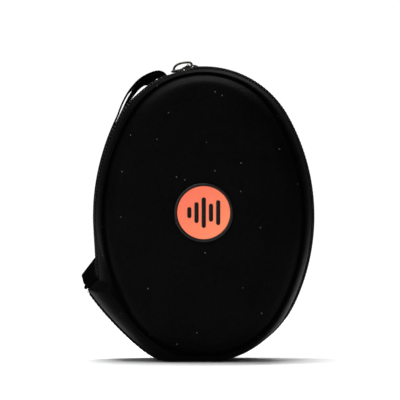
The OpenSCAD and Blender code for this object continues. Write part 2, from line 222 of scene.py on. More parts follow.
def line_points():
    """Dense points along the whole zip: x, z and the outward normal."""
    out = []

    def arc(cx, cz, r, a0, a1):
        n = max(2, int(abs(a1 - a0) * math.pi / 180 * r / 0.5))
        for i in range(n):
            a = math.radians(a0 + (a1 - a0) * i / n)
            out.append((cx + r * math.cos(a), WAIST + cz + r * math.sin(a), math.cos(a), math.sin(a)))

    d = math.radians(STRAP_SIDE)
    for i in range(72):
        s = STRAIGHT_TO + (STRAIGHT_FROM - STRAIGHT_TO) * i / 72
        out.append((STRAIGHT_DIST * math.cos(d) - s * math.sin(d),
                    WAIST + STRAIGHT_DIST * math.sin(d) + s * math.cos(d), math.cos(d), math.sin(d)))
    arc(SIDE_CENTRE, 0, SIDE_R, STRAP_SIDE, 180 - TOP_TURN)
    arc(0, TOP_CENTRE, TOP_R, 180 - TOP_TURN, TOP_TURN)
    arc(-SIDE_CENTRE, 0, SIDE_R, TOP_TURN, -ZIP_LOW_TURN)
    arc(0, -ZIP_LOW_CENTRE, ZIP_LOW_R, -ZIP_LOW_TURN, -90)
    for i in range(69):
        out.append((-LOW_RUN * i / 68, WAIST - ZIP_DROP, 0.0, -1.0))
    return out


DENSE = line_points()
REACH = [0.0]
for p, q in zip(DENSE, DENSE[1:]):
    REACH.append(REACH[-1] + math.hypot(q[0] - p[0], q[1] - p[1]))
TRACK = REACH[-1]


def track(s):
    """x, z, normal and tangent at length s along the zip."""
    lo, hi = 0, len(REACH) - 1
    while hi - lo > 1:
        mid = (lo + hi) // 2
        lo, hi = (mid, hi) if REACH[mid] <= s else (lo, mid)
    u = (s - REACH[lo]) / max(REACH[hi] - REACH[lo], 1e-9)
    p, q = DENSE[lo], DENSE[hi]
    x, z, nx, nz = (a + (b - a) * u for a, b in zip(p, q))
    m = math.hypot(nx, nz)
    nx, nz = nx / m, nz / m
    return x, z, nx, nz, nz, -nx


def along(s, h, o, side):
    """The point at length s, h from the parting plane and o outside the outline."""
    x, z, nx, nz, _, _ = track(s)
    return (x + nx * o, side * h, z + nz * o)


def settle(s):
    """The bound edges lie lower between the strap's root and the slider."""
    x, z, nx, nz, _, _ = track(s)
    d = math.degrees(math.atan2(nz, nx))
    return -smooth(96, 99.5, d) * (1.5 - 0.7 * smooth(108, 118, d) - 0.8 * smooth(132, 146, d))


def swept(name, section, side, mat, body, s0=0.0, s1=None, step=1.2, shift=None):
    """A bar along the zip. section is a closed loop of (h, o)."""
    s1 = TRACK if s1 is None else s1
    n = int((s1 - s0) / step)
    rings, uv = [], []
    around = [0.0]
    for a, b in zip(section, section[1:]):
        around.append(around[-1] + math.hypot(a[0] - b[0], a[1] - b[1]))
    for k in range(n + 1):
        s = s0 + (s1 - s0) * k / n
        low = shift(s) if shift else 0.0
        rings.append([along(s, h, o + low, side) for h, o in section])
        uv += [(s, v) for v in around]
    verts, faces = skin(rings)
    uv += [(s0, 0), (s1, 0)]
    return make(name, verts, faces, mat, body, uv)


def round_box(cx, cz, a, b, n=16, p=3.2):
    """A rounded loop about (cx, cz) with half sizes a and b."""
    out = []
    for i in range(n):
        t = 2 * math.pi * i / n
        c, s = math.cos(t), math.sin(t)
        out.append((cx + a * math.copysign(abs(c) ** (2 / p), c), cz + b * math.copysign(abs(s) ** (2 / p), s)))
    return out


def tube(name, path, r, mat, body, sides=8, closed=False):
    """A round wire or thread along points in millimetres."""
    n = len(path)
    rings = []
    up = Vector((0, 1, 0))
    for i, p in enumerate(path):
        a = Vector(path[(i - 1) % n] if closed or i else path[0])
        b = Vector(path[(i + 1) % n] if closed or i < n - 1 else path[-1])
        t = (b - a).normalized()
        u = t.cross(up)
        u = u.normalized() if u.length > 1e-4 else Vector((1, 0, 0))
        v = t.cross(u)
        rings.append([tuple(Vector(p) + r * (math.cos(2 * math.pi * k / sides) * u
                                             + math.sin(2 * math.pi * k / sides) * v)) for k in range(sides)])
    verts, faces = skin(rings, close_v=closed)
    return make(name, verts, faces, mat, body)


def stitches(name, runs, mat, body, length=1.9, r=0.17):
    """Short sewn threads. runs holds (centre, direction, outward) for each one."""
    verts, faces = [], []
    for c, t, o in runs:
        c, t, o = Vector(c), Vector(t).normalized(), Vector(o).normalized()
        w = t.cross(o)
        base = len(verts)
        for k in range(5):
            u = (k - 2) / 2.0
            half = r * math.sqrt(max(1 - u * u * 0.92, 0.02))
            lift = 0.35 * r * (1 - u * u)
            for j in range(6):
                a = math.pi * j / 3
                verts.append(tuple(c + t * (u * length / 2) + o * (lift + half * math.sin(a))
                                   + w * (half * math.cos(a))))
        for k in range(4):
            for j in range(6):
                a, b = base + k * 6 + j, base + k * 6 + (j + 1) % 6
                faces.append((a, b, b + 6, a + 6))
        faces += [tuple(base + j for j in range(6)), tuple(base + 24 + j for j in range(6))]
    return make(name, verts, faces, mat, body)


# ---------------------------------------------------------------- materials


class Nodes:
    """A small helper for building one material's nodes."""

    def __init__(self, name, color, rough=0.8, spec=0.5, metal=0.0, sheen=0.0, sheen_rough=0.4, coat=0.0,
                 coat_rough=0.1):
        self.mat = bpy.data.materials.new(name)
        self.mat.use_nodes = True
        self.t = self.mat.node_tree
        self.b = self.t.nodes["Principled BSDF"]
        self.b.inputs["Base Color"].default_value = (*color, 1)
        self.b.inputs["Roughness"].default_value = rough
        self.b.inputs["Metallic"].default_value = metal
        self.b.inputs["Specular IOR Level"].default_value = spec
        self.b.inputs["Sheen Weight"].default_value = sheen
        self.b.inputs["Sheen Roughness"].default_value = sheen_rough
        self.b.inputs["Coat Weight"].default_value = coat
        self.b.inputs["Coat Roughness"].default_value = coat_rough
        self.mat.diffuse_color = (*color, 1)

    def add(self, kind, **props):
        n = self.t.nodes.new(kind)
        for k, v in props.items():
            setattr(n, k, v)
        return n

    def link(self, a, b):
        self.t.links.new(a, b)

    def math(self, op, a, b=None, clamp=False):
        n = self.add("ShaderNodeMath", operation=op, use_clamp=clamp)
        for i, v in enumerate((a, b)):
            if v is None:
                continue
            if isinstance(v, (int, float)):
                n.inputs[i].default_value = v
            else:
                self.link(v, n.inputs[i])
        return n.outputs[0]

    def xyz(self):
        c = self.add("ShaderNodeTexCoord")
        s = self.add("ShaderNodeSeparateXYZ")
        self.link(c.outputs["Object"], s.inputs[0])
        return c.outputs["Object"], s.outputs[0], s.outputs[1], s.outputs[2]

    def uv(self):
        c = self.add("ShaderNodeUVMap", uv_map="weave")
        s = self.add("ShaderNodeSeparateXYZ")
        self.link(c.outputs[0], s.inputs[0])
        return s.outputs[0], s.outputs[1]

    def wave(self, x, period, phase=0.0):
        return self.math("SINE", self.math("MULTIPLY_ADD", x, 2 * math.pi / period) if not phase else
                         self.math("ADD", self.math("MULTIPLY", x, 2 * math.pi / period), phase))

    def noise(self, coords, scale, detail=3.0, rough=0.55):
        n = self.add("ShaderNodeTexNoise")
        n.inputs["Scale"].default_value = scale
        n.inputs["Detail"].default_value = detail
        n.inputs["Roughness"].default_value = rough
        self.link(coords, n.inputs["Vector"])
        return n.outputs[0]

    def ramp(self, value, stops):
        n = self.add("ShaderNodeValToRGB")
        e = n.color_ramp.elements
        while len(e) < len(stops):
            e.new(0.5)
        for k, (pos, col) in enumerate(stops):
            e[k].position = pos
            e[k].color = (*col, 1)
        self.link(value, n.inputs[0])
        return n.outputs[0]

    def mix(self, f, a, b):
        n = self.add("ShaderNodeMix", data_type="RGBA")
        self.link(f, n.inputs[0])
        for i, v in ((6, a), (7, b)):
            if isinstance(v, tuple):
                n.inputs[i].default_value = (*v, 1)
            else:
                self.link(v, n.inputs[i])
        return n.outputs[2]

    def color(self, out):
        self.link(out, self.b.inputs["Base Color"])

    def rough(self, out):
        self.link(out, self.b.inputs["Roughness"])

    def bump(self, height, strength, distance):
        n = self.add("ShaderNodeBump")
        n.inputs["Strength"].default_value = strength
        n.inputs["Distance"].default_value = distance
        self.link(height, n.inputs["Height"])
        self.link(n.outputs[0], self.b.inputs["Normal"])


def knit(name, dark, light, gauge=0.00095, lint=True, spec=0.022, sheen=0.0, depth=0.6):
    """Fine bonded knit: rows of small loops, slow tone changes and a few pale flecks of lint."""
    m = Nodes(name, light, rough=0.5, spec=spec, sheen=sheen, sheen_rough=0.45)
    pos, x, y, z = m.xyz()
    u = m.math("ADD", x, m.math("MULTIPLY", y, 0.7))
    v = m.math("ADD", z, y)
    wob = m.math("MULTIPLY", m.noise(pos, 300, 2), 0.0004)
    loops = m.math("MULTIPLY", m.wave(m.math("ADD", u, wob), gauge), m.wave(m.math("ADD", v, wob), gauge * 1.25))
    fuzz = m.noise(pos, 1300, 3, 0.75)
    clump = m.noise(pos, 420, 3, 0.7)
    height = m.math("ADD", m.math("MULTIPLY", loops, 0.5), m.math("ADD", fuzz, m.math("MULTIPLY", clump, 1.6)))
    m.bump(height, depth, 0.00013)
    tone = m.math("ADD", m.math("MULTIPLY", m.noise(pos, 26, 4, 0.6), 0.35),
                  m.math("ADD", m.math("MULTIPLY", fuzz, 0.35), m.math("MULTIPLY", clump, 0.45)))
    col = m.ramp(tone, [(0.38, dark), (0.8, light)])
    if lint:
        cell = m.add("ShaderNodeTexVoronoi")
        cell.inputs["Scale"].default_value = 150
        m.link(pos, cell.inputs["Vector"])
        pick = m.add("ShaderNodeSeparateColor")
        m.link(cell.outputs["Color"], pick.inputs[0])
        near = m.math("LESS_THAN", cell.outputs["Distance"], 0.065)
        some = m.math("GREATER_THAN", pick.outputs[0], 0.62)
        col = m.mix(m.math("MULTIPLY", near, some), col, (0.10, 0.10, 0.105))
    m.color(col)
    m.rough(m.math("ADD", m.math("MULTIPLY", fuzz, 0.16), 0.42))
    return m.mat


def ribbed(name, dark, light, rib=1.1, across=0.9, spec=0.25, rough=0.6, sheen=0.02, depth=0.6):
    """Woven tape: ribs across its length and finer threads along it, from the piece's own woven directions."""
    m = Nodes(name, light, rough=rough, spec=spec, sheen=sheen)
    u, v = m.uv()
    pos, _, _, _ = m.xyz()
    a, b = m.wave(u, rib, 0.3), m.wave(v, across, 0.6)
    fuzz = m.noise(pos, 2200, 2)
    h = m.math("ADD", m.math("ADD", m.math("MULTIPLY", a, 0.6), m.math("MULTIPLY", m.math("MULTIPLY", a, b), 0.4)),
               m.math("MULTIPLY", fuzz, 0.5))
    m.bump(h, depth, 0.00018)
    tone = m.math("ADD", m.math("MULTIPLY", a, 0.18), m.math("MULTIPLY", m.noise(pos, 90, 3), 0.9))
    m.color(m.ramp(tone, [(0.25, dark), (0.75, light)]))
    return m.mat


def metal(name, dark, light, rough=0.35, metallic=1.0, spec=0.5, worn=None):
    m = Nodes(name, light, rough=rough, metal=metallic, spec=spec)
    pos, x, y, z = m.xyz()
    n = m.noise(pos, 900, 4)
    col = m.ramp(n, [(0.35, dark), (0.7, light)])
    if worn:
        patch = m.ramp(m.noise(pos, 420, 4, 0.75), [(0.62, (0, 0, 0)), (0.72, (1, 1, 1))])
        col = m.mix(patch, col, worn)
    m.color(col)
    m.rough(m.math("ADD", m.math("MULTIPLY", n, 0.25), rough - 0.1))
    m.bump(n, 0.15, 0.00005)
    return m.mat


def plastic(name, dark, light, rough=0.35, spec=0.5, grain=1400, depth=0.12, coat=0.0):
    m = Nodes(name, light, rough=rough, spec=spec, coat=coat, coat_rough=0.12)
    pos, _, _, _ = m.xyz()
    n = m.noise(pos, grain, 3)
    m.color(m.ramp(m.math("ADD", m.math("MULTIPLY", n, 0.5), m.math("MULTIPLY", m.noise(pos, 60, 2), 0.5)),
                   [(0.35, dark), (0.65, light)]))
    m.rough(m.math("ADD", m.math("MULTIPLY", n, 0.16), rough - 0.08))
    m.bump(n, depth, 0.00004)
    return m.mat


def coral():
    """Satin orange face, a touch warmer towards its upper left."""
    m = Nodes("coral_face", (0.95, 0.24, 0.13), rough=0.42, spec=0.3)
    pos, x, y, z = m.xyz()
    lift = m.math("ADD", m.math("MULTIPLY", m.math("ADD", x, -MID_X * MM), 13),
                  m.math("MULTIPLY", m.math("ADD", z, -0.1087), -13))
    f = m.math("ADD", m.math("ADD", lift, 0.5), m.math("MULTIPLY", m.math("ADD", m.noise(pos, 2400, 2), -0.5), 0.12))
    m.color(m.ramp(f, [(0.05, (0.90, 0.145, 0.080)), (0.95, (0.94, 0.25, 0.115))]))
    n = m.noise(pos, 1600, 3)
    m.rough(m.math("ADD", m.math("MULTIPLY", n, 0.12), 0.36))
    m.bump(n, 0.08, 0.00004)
    return m.mat


KNIT = knit("knit_cover", (0.0001, 0.0001, 0.0001), (0.0026, 0.0026, 0.0026))
CLOTH = knit("knit_hinge", (0.0002, 0.0002, 0.0002), (0.0012, 0.0012, 0.0012), lint=False)
TRICOT = knit("tricot_lining", (0.022, 0.022, 0.024), (0.04, 0.04, 0.043), gauge=0.0007, lint=False, spec=0.2,
              sheen=0.12, depth=0.35)
PIPING = ribbed("binding_tape", (0.0012, 0.0012, 0.0012), (0.004, 0.004, 0.004), rib=1.0, across=0.7,
                spec=0.06, rough=0.8, sheen=0.0)
TAPE = ribbed("zip_tape_weave", (0.03, 0.03, 0.032), (0.07, 0.07, 0.074), rib=0.9, across=0.6, spec=0.3)
WEB = ribbed("webbing_weave", (0.0006, 0.0006, 0.0008), (0.002, 0.002, 0.0024), rib=0.8, across=1.2,
             spec=0.04, rough=0.8, sheen=0.0)
TABWEB = ribbed("tab_weave", (0.0006, 0.0006, 0.0008), (0.0022, 0.0022, 0.0025), rib=0.9, across=1.0,
                spec=0.03, rough=0.8, sheen=0.0)
ELASTIC = ribbed("elastic_weave", (0.008, 0.008, 0.009), (0.022, 0.022, 0.024), rib=0.8, across=0.5, spec=0.2)
THREAD = ribbed("sewing_thread", (0.05, 0.05, 0.052), (0.1, 0.1, 0.105), rib=0.4, across=0.3, spec=0.3)
DARK_THREAD = ribbed("dark_thread", (0.01, 0.01, 0.011), (0.03, 0.03, 0.032), rib=0.4, across=0.3, spec=0.3)
NET = plastic("mesh_thread", (0.02, 0.02, 0.022), (0.045, 0.045, 0.048), rough=0.6, spec=0.3)
COIL = plastic("coil_nylon", (0.008, 0.008, 0.009), (0.02, 0.02, 0.022), rough=0.38, spec=0.5)
BLACK = plastic("badge_black", (0.001, 0.001, 0.0012), (0.003, 0.003, 0.0033), rough=0.3, spec=0.22)
BAR_BLACK = plastic("bar_black", (0.001, 0.001, 0.001), (0.004, 0.003, 0.003), rough=0.45, spec=0.12)
CORAL = coral()
ENAMEL = metal("slider_enamel", (0.001, 0.001, 0.001), (0.005, 0.005, 0.005), rough=0.4, metallic=0.0, spec=0.2,
               worn=(0.09, 0.09, 0.09))
NICKEL = metal("dark_nickel", (0.03, 0.03, 0.025), (0.10, 0.10, 0.085), rough=0.42)
STEEL = metal("satin_steel", (0.36, 0.36, 0.36), (0.52, 0.52, 0.51), rough=0.32)

# ---------------------------------------------------------------- moulded halves

N_STEP = 6
for half, side, body in (("front", -1, "lid"), ("rear", 1, "case")):
    edge = [rim(8.2, 4.45), rim(7.5, 4.2), rim(7.2, 3.5), rim(7.2, 1.2), rim(7.45, 0.35), rim(8.2, 0.05)]
    outside = [ring(v, side) for v in edge + spline(OUTER, N_STEP)]
    last = outside[-1]
    for k in range(1, 9):
        u = k / 8
        row = []
        for t, p in zip(TURNS, last):
            r0 = math.hypot(p[0], p[2] - WAIST)
            r = r0 + (27 - r0) * u
            h = 41.6 + 0.9 * math.sin(math.pi / 2 * u)
            row.append((r * math.cos(t), side * h, WAIST + r * math.sin(t)))
        outside.append(row)
    inside = [ring([v[0]] + [w - 0.03 for w in v[1:]], side) for v in spline(INNER, 2)]
    rings = inside[1:][::-1] + outside
    verts, faces = skin(rings)
    cover = make("knit_cover_" + half, verts, faces, KNIT, body)
    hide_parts(half + "_shell")

    out_l = [ring(v, side) for v in spline(INNER, 4)]
    in_l = [ring([v[0] - (0.8 if v[0] > 7.3 else 0.0)] + [w + 0.8 for w in v[1:]], side) for v in spline(INNER, 6)]
    verts, faces = skin(out_l[::-1] + in_l)
    lining = make("tricot_lining_" + half, verts, faces, TRICOT, body)
    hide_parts(half + "_lining")

# ---------------------------------------------------------------- zip: bindings, tapes, coils, stops, stitching

for half, side, body in (("front", -1, "lid"), ("rear", 1, "case")):
    b = swept("binding_" + half, round_box(6.12, -1.4, 1.22, 1.35), side, PIPING, body, shift=settle)
    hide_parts(half + "_binding")
    section = [(0.08, -3.75), (2.7, -3.75), (3.7, -2.5), (4.6, -2.3), (5.5, -2.45), (6.7, -2.5), (7.9, -3.0),
               (7.9, -3.6), (6.7, -3.15), (5.5, -2.95), (4.6, -2.85), (3.9, -2.95), (3.0, -4.15), (0.08, -4.15)]
    t = swept("zip_tape_woven_" + half, section, side, TAPE, body)
    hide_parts(half + "_zip_tape")

    pitch, steps = 1.45, 10
    first, stop = 3.0, TRACK - 3.0
    turns = int((stop - first) / pitch)
    path = []
    for i in range(turns * steps + 1):
        a = 2 * math.pi * i / steps
        s = first + pitch * i / steps + (pitch / 2 if side > 0 else 0)
        path.append(along(min(s, stop + 1), 1.52 + 1.78 * math.cos(a), -2.7 + 0.62 * math.sin(a), side))
    c = tube("zip_coil_turns_" + half, path, 0.34, COIL, body, sides=6)
    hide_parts(half + "_zip_coil")

    clips = []
    for end, s in (("a", 1.7), ("b", TRACK - 1.7)):
        x, z, nx, nz, tx, tz = track(s)
        rings = []
        for k in range(9):
            w = -1.2 + 2.4 * k / 8
            grow = math.sqrt(max(1 - (w / 1.35) ** 2, 0.05))
            rings.append([along(s + w, h, o, side) for h, o in round_box(1.7, -2.7, 1.6, 1.1 * grow + 0.1, 12, 4)])
        clips.append(skin(rings))
    verts, faces = clips[0]
    base = len(verts)
    verts = verts + clips[1][0]
    faces = faces + [tuple(i + base for i in f) for f in clips[1][1]]
    st = make("zip_stop_clips_" + half, verts, faces, STEEL, body)
    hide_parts(half + "_zip_stops")

    runs, runs2 = [], []
    n = int((TRACK - 4) / 2.7)
    for i in range(n):
        s = 2 + 2.7 * (i + 0.5)
        x, z, nx, nz, tx, tz = track(s)
        runs.append((along(s, 7.33, -1.25 + settle(s), side), (tx, 0, tz), (0, side, 0)))
        runs2.append((along(s, 6.12, -0.07 + settle(s), side), (tx, 0, tz), (nx, 0, nz)))
    st = stitches("binding_stitches_" + half, runs + runs2, THREAD, body, 1.7, 0.15)

# ---------------------------------------------------------------- cloth hinge


def hinge_point(t, w, depth):
    r = heel(t, 2.6, 0.0, 0.0) - depth
    fold = 0.55 * math.exp(-(w / 1.3) ** 2)
    ripple = 0.12 * math.sin(9 * t * 6 + 0.9 * w) * math.exp(-(w / 6) ** 2)
    return ((r - fold + ripple) * math.cos(t), -w, max(WAIST + (r - fold + ripple) * math.sin(t), 0.15))


T0, T1 = 211.9, 252.5
rows, uv = [], []
n_t, half_w = 70, 12.4
across = [-half_w + 2 * half_w * i / 48 for i in range(49)]
for k in range(n_t + 1):
    t = math.radians(T0 + (T1 - T0) * k / n_t)
    end = 1.1 * (1 - smooth(0, 6, k)) + 1.3 * smooth(n_t - 14, n_t, k)
    top = [hinge_point(t, w, -0.25 + end + 0.75 * smooth(10.6, 12.4, abs(w))) for w in across]
    low = [hinge_point(t, w, 0.85 + end) for w in across[::-1]]
    rows.append(top + low)
verts, faces = skin(rows)
cloth = make("hinge_cloth_bend", verts, faces, CLOTH)
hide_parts("hinge_cloth_rear", "hinge_cloth_front")
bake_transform(cloth)

rows = []
for k in range(41):
    s = (3 + FOAM - HINGE_UP) + (HINGE_DOWN - 8 - 3 - FOAM + HINGE_UP) * k / 40
    n = math.radians(HINGE_DIR)
    base = (HINGE_DIST * math.cos(n) - s * math.sin(n), WAIST + HINGE_DIST * math.sin(n) + s * math.cos(n))
    loop = []
    for w, d in [(-8.2 + 16.4 * i / 24, 6.75 + 0.5 * math.exp(-((-8.2 + 16.4 * i / 24) / 1.5) ** 2))
                 for i in range(25)] + \
                [(8.2 - 16.4 * i / 24, 7.65) for i in range(25)]:
        loop.append((base[0] - d * math.cos(n), -w, base[1] - d * math.sin(n)))
    rows.append(loop)
verts, faces = skin(rows)
strip = make("hinge_lining_bend", verts, faces, TRICOT)
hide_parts("hinge_lining_rear", "hinge_lining_front")
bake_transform(strip)

# two sewn rows that hold the hinge cloth to each half
for half, side, body in (("front", -1, "lid"), ("rear", 1, "case")):
    runs = []
    for i in range(23):
        t = math.radians(T0 + 1.3 + (T1 - T0 - 2.6) * i / 22)
        for w in (9.6, 11.0):
            p, q = hinge_point(t, -side * w, -0.2), hinge_point(t + 0.004, -side * w, -0.2)
            runs.append((p, (q[0] - p[0], 0, q[2] - p[2]), (math.cos(t), 0, math.sin(t))))
    st = stitches("hinge_stitches_" + half, runs, DARK_THREAD, body, 2.0, 0.16)

# ---------------------------------------------------------------- badge


def revolve(name, profile, mat, body, n=128, at=(0.0, WAIST + 2.7), y0=-HALF_D):
    rings = []
    for r, h in profile:
        rings.append([(at[0] + r * math.cos(2 * math.pi * i / n), y0 - h, at[1] + r * math.sin(2 * math.pi * i / n))
                      for i in range(n)])
    verts, faces = skin(rings)
    return make(name, verts, faces, mat, body)


R, RI = 21.35, 19.25
prof = [(0.5, 0.0), (R - 0.3, 0.0), (R, 0.25)]
prof += [(R - 0.55 + 0.55 * math.cos(a), 1.5 + 0.6 * math.sin(a)) for a in [math.pi / 2 * i / 6 for i in range(7)]]
prof += [(RI + 0.55 - 0.55 * math.sin(a), 1.55 + 0.55 * math.cos(a)) for a in [math.pi / 2 * i / 6 for i in range(7)]]
prof += [(RI, 1.22), (RI - 0.3, 1.18), (0.5, 1.18)]
bez = revolve("badge_bezel_rim", prof, BLACK, "lid")
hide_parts("badge_bezel")
prof = [(0.5, 1.2), (19.0, 1.2), (19.14, 1.32), (19.14, 1.72), (18.95, 1.9), (18.5, 1.93), (12, 1.9), (6, 1.88),
        (0.5, 1.87)]
disc = revolve("badge_disc_face", prof, CORAL, "lid")
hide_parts("badge_disc")
verts, faces = [], []
for i, length in enumerate((8, 15, 22, 13, 18)):
    cx, cz = (i - 2) * 5.2, WAIST + 2.7
    loops = []
    for grow, h in ((0.0, 1.86), (0.0, 2.12), (-0.12, 2.24), (-0.4, 2.3), (-1.0, 2.32)):
        r, f = 1.5 + grow, (length - 3) / 2
        pts = [(r * math.cos(a), f + r * math.sin(a)) for a in [math.pi * k / 12 for k in range(13)]]
        pts += [(r * math.cos(a), -f + r * math.sin(a)) for a in [math.pi + math.pi * k / 12 for k in range(13)]]
        loops.append([(cx + x, -HALF_D - h, cz + z) for x, z in pts])
    v, f = skin(loops)
    faces += [tuple(k + len(verts) for k in q) for q in f]
    verts += v
bars = make("badge_sound_bars", verts, faces, BAR_BLACK, "lid")
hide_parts("badge_bars")

# ---------------------------------------------------------------- slider, pin and pull

SLIDER_AT = math.radians(90 + 7.3)
PIN = (-2.2, 0.25 - 0.5 + 1.45 + 0.65)


def at_slider(u, y, o):
    """u along the zip (to the right), y across it, o outside the outline."""
    a = SLIDER_AT - u / TOP_R
    return ((TOP_R + o) * math.cos(a), y, WAIST + TOP_CENTRE + (TOP_R + o) * math.sin(a))


def tangent_slider(u, y, o):
    """The same, on the straight tangent at the slider's middle."""
    a = SLIDER_AT
    return ((TOP_R + o) * math.cos(a) + u * math.sin(a), y,
            WAIST + TOP_CENTRE + (TOP_R + o) * math.sin(a) - u * math.cos(a))


def plate(outline, o0, o1, dome=0.0):
    """A plate with a rounded edge: outline of (u, y), between lifts o0 and o1."""
    loops = []
    cu = sum(p[0] for p in outline) / len(outline)
    for shrink, f in ((0.5, 0.0), (0.18, 0.0), (0.0, 0.2), (0.0, 0.75), (0.18, 1.0), (0.7, 1.0), (1.6, 1.0)):
        row = []
        for u, y in outline:
            m = math.hypot(u - cu, y)
            k = max(m - shrink, 0.1) / m
            lift = o0 + (o1 - o0) * f + dome * (1 - min((m * k / 5.4) ** 2, 1)) * f
            row.append(at_slider(cu + (u - cu) * k, y * k, lift))
        loops.append(row)
    return skin(loops)


def joined(name, parts, mat, body):
    verts, faces = [], []
    for v, f in parts:
        faces += [tuple(k + len(verts) for k in q) for q in f]
        verts += v
    return make(name, verts, faces, mat, body)


shape = []
for u, y in ((-5.4, 2.7), (-5.0, 3.4), (-3.6, 3.9), (-1.0, 4.5), (2.0, 4.6), (4.2, 4.5), (5.2, 3.7), (5.5, 2.0)):
    shape.append((u, y))
shape = shape + [(u, -y) for u, y in shape[::-1]]
fine = []
for p, q in zip(shape, shape[1:] + shape[:1]):
    for k in range(4):
        fine.append((p[0] + (q[0] - p[0]) * k / 4, p[1] + (q[1] - p[1]) * k / 4))
parts = [plate(fine, -1.5, -0.45, 0.15), plate(fine, -4.9, -3.95)]
loops = []
for o in (-4.2, -3.2, -2.2, -1.2):
    loops.append([at_slider(3.6 + 1.2 * math.cos(a), 0.42 * math.sin(a), o) for a in
                  [2 * math.pi * k / 16 for k in range(16)]])
parts.append(skin(loops))
# flange on the rear edge, which wraps the rear coil
for o0, o1 in ((-2.15, -1.3), (-4.1, -3.3)):
    loops = []
    for k in range(9):
        u = -4.6 + 9.6 * k / 8
        loops.append([at_slider(u, 4.05 + 0.42 * c, (o0 + o1) / 2 + (o1 - o0) / 2 * s) for c, s in
                      round_box(0, 0, 1, 1, 12, 4)])
    parts.append(skin(loops))
# two posts that hold the pin, and a hood that slopes down to the right of the ring's eye
for sgn in (-1, 1):
    prof = [(PIN[0] + 1.0 * math.cos(a), PIN[1] + 1.0 * math.sin(a)) for a in
            [math.radians(-45 + 215 * k / 14) for k in range(15)]]
    prof += [(-4.7, 1.2), (-4.9, -0.7), (-0.9, -0.7)]
    loops = []
    for g, y in ((0.85, 0.95), (1.0, 1.08), (1.0, 1.72), (0.85, 1.85)):
        cu, co = PIN[0] - 0.3, 0.6
        loops.append([tangent_slider(cu + (u - cu) * g, sgn * y, co + (o - co) * g) for u, o in prof])
    parts.append(skin(loops))
hood = []
for u, o, w in ((1.35, 1.2, 1.6), (1.55, 1.75, 2.1), (2.4, 1.7, 2.3), (3.5, 1.25, 2.3), (4.7, 0.6, 2.1),
                (5.5, -0.2, 1.6)):
    hood.append([tangent_slider(u, w * c, (o - 0.8) / 2 + (o + 0.8) / 2 * s)
                 for c, s in round_box(0, 0, 1, 1, 14, 3.5)])
parts.append(skin(hood))
slider = joined("slider_body", parts, ENAMEL, "slider")
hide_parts("zip_slider")

pin_rings = []
for y, r in ((-2.05, 0.35), (-2.02, 0.75), (-1.85, 0.9), (-1.7, 0.72), (-1.2, 0.69), (0, 0.69), (1.2, 0.69),
             (1.7, 0.72), (1.85, 0.9),
             (2.02, 0.75), (2.05, 0.35)):
    pin_rings.append([tangent_slider(PIN[0] + r * math.cos(a), y, PIN[1] + r * math.sin(a)) for a in
                      [2 * math.pi * k / 20 for k in range(20)]])
verts, faces = skin(pin_rings)
pin = make("slider_rivet", verts, faces, STEEL, "slider")
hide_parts("slider_pin")

# wire ring: eye round the pin, lower run, arch and upper run
bends = [(0.45, 1.4), (0.35, 2.5), (-0.3, 3.45), (-1.6, 3.95), (-3.4, 4.1), (-6.0, 4.1), (-8.6, 3.75), (-10.6, 3.0),
         (-12.1, 1.9), (-12.9, 0.6), (-13.1, -0.5), (-12.3, -1.0), (-10.6, -1.05), (-8.6, -0.95), (-6.9, -0.55),
         (-5.5, 0.2), (-4.2, 0.48), (-2.2, 0.5), (-0.4, 0.62)]
line = []
for i in range(len(bends)):
    p0, p1, p2, p3 = (bends[(i + j) % len(bends)] for j in (-1, 0, 1, 2))
    for k in range(6):
        u = k / 6
        line.append(tuple(0.5 * (2 * b + (c - a) * u + (2 * a - 5 * b + 4 * c - d) * u * u
                                 + (3 * b - a - 3 * c + d) * u ** 3) for a, b, c, d in zip(p0, p1, p2, p3)))
wire = tube("pull_wire_ring", [tangent_slider(u, 0.0, o) for u, o in line], 0.86, NICKEL, "pull", sides=12,
            closed=True)
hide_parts("pull_ring")
# moulded grip bar along the wire's lower run
grip = []
for k in range(25):
    u = -15.3 + 9.4 * k / 24
    g = math.sqrt(max(1 - (abs(k - 12) / 12) ** 6, 0.03))
    grip.append([tangent_slider(u, 1.9 * g * c, -1.3 + 1.05 * g * s) for c, s in
                 round_box(0, 0, 1, 1, 16, 3)])
verts, faces = skin(grip)
g = make("pull_grip_bar", verts, faces, BLACK, "pull")

# ---------------------------------------------------------------- wrist strap

# Lift of each ply's upper edge above the outline, and the height that its turned face shows
OUTER_PLY = [(112.8, -1.2), (113.3, 1.0), (114.8, 3.9), (117, 6.0), (122, 7.4), (127, 7.9), (132, 7.2), (136.5, 6.2),
             (144, 4.2), (151, 2.3), (157, 1.5), (163, 1.0), (170, 0.7), (180, 0.5)]
OUTER_FACE = [(112.8, 1.3), (114, 2.6), (115.5, 4.2), (118, 5.6), (122, 6.0), (127, 5.6), (131, 4.4), (134.5, 2.2),
              (138, 1.2), (180, 1.2)]
INNER_PLY = [(112.8, -1.2), (114.5, 1.5), (116, 3.4), (119, 4.8), (122, 5.4), (127, 5.8), (132, 5.0), (137, 3.8),
             (142, 2.4), (146.6, 1.3), (151.5, 0.6), (157, -0.4), (163, -0.8), (180, -0.8)]
INNER_FACE = [(112.8, 1.3), (114.5, 3.6), (117, 4.4), (119.5, 4.6), (121.5, 6.6), (124.5, 6.4), (127, 4.7), (132, 3.6),
              (137, 3.2), (142, 2.3), (147, 1.6), (152, 1.2), (180, 1.2)]


